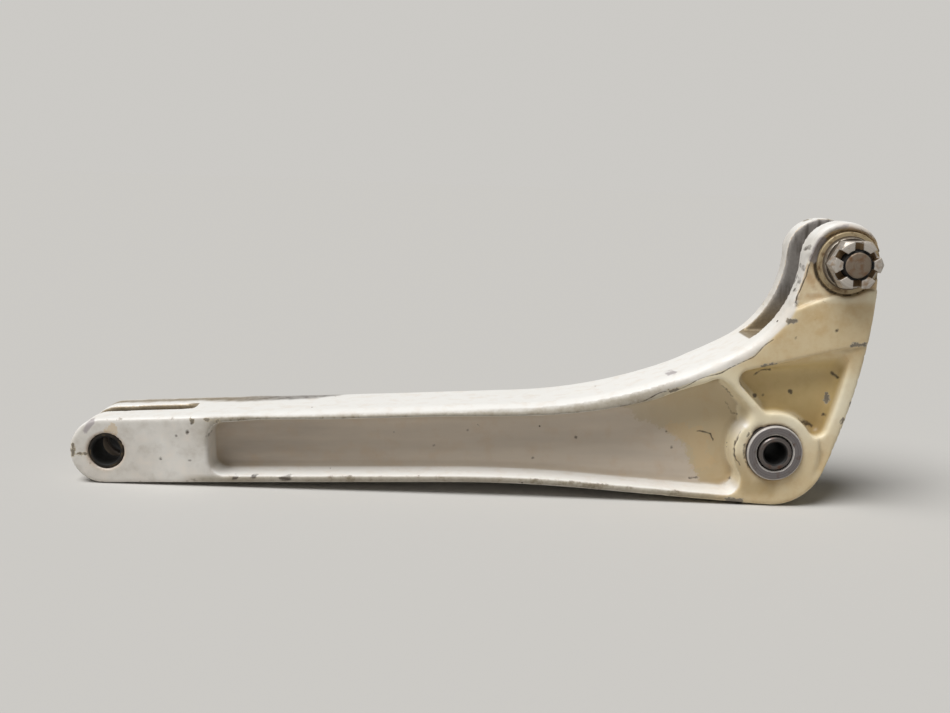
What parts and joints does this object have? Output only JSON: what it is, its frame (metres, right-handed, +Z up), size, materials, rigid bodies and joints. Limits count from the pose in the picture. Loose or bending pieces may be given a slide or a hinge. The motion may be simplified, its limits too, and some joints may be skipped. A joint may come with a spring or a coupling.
{
  "type": "aircraft bellcrank",
  "caption": "Forged bellcrank lever with pocketed I-section arms, a needle bearing pivot, a slotted eye on the long arm and a bolted clevis on the short arm.",
  "frame": {"origin": "centre of the pivot bore, midway between the lever's faces", "axes": "+Y along the pivot axis towards the rear face, +X away from the long arm along the lever's base line, +Z up towards the clevis"},
  "size_m": [0.2286, 0.0406, 0.0815],
  "materials": {
    "painted_forging": "worn cream enamel on forged aluminium",
    "bearing_steel": "turned steel, dulled",
    "needle_steel": "ground",
    "sleeve_steel": "ground, dulled",
    "bush_steel": "stained steel",
    "bolt_steel": "plated, dulled and stained brown",
    "washer_steel": "plated, dulled",
    "nut_steel": "plated, dulled"
  },
  "bodies": {
    "lever": {"lever_forging": "painted_forging", "front_bearing_ring": "bearing_steel", "rear_bearing_ring": "bearing_steel", "front_needles": "needle_steel", "rear_needles": "needle_steel", "front_eye_bush": "bush_steel", "rear_eye_bush": "bush_steel", "front_clevis_bush": "bush_steel", "rear_clevis_bush": "bush_steel"},
    "sleeve": {"pivot_sleeve": "sleeve_steel"},
    "bolt_set": {"clevis_bolt": "bolt_steel", "head_washer": "washer_steel", "wide_washer": "washer_steel", "nut_washer": "washer_steel", "castle_nut": "nut_steel"}
  },
  "joints": [
    {"name": "pivot", "type": "hinge", "parent": "lever", "child": "sleeve", "pos_m": [0, 0, 0], "axis": [0, 1, 0], "continuous": true},
    {"name": "bolt_turn", "type": "hinge", "parent": "lever", "child": "bolt_set", "pos_m": [0.01842, 0, 0.0541], "axis": [0, 1, 0], "continuous": true}
  ]
}
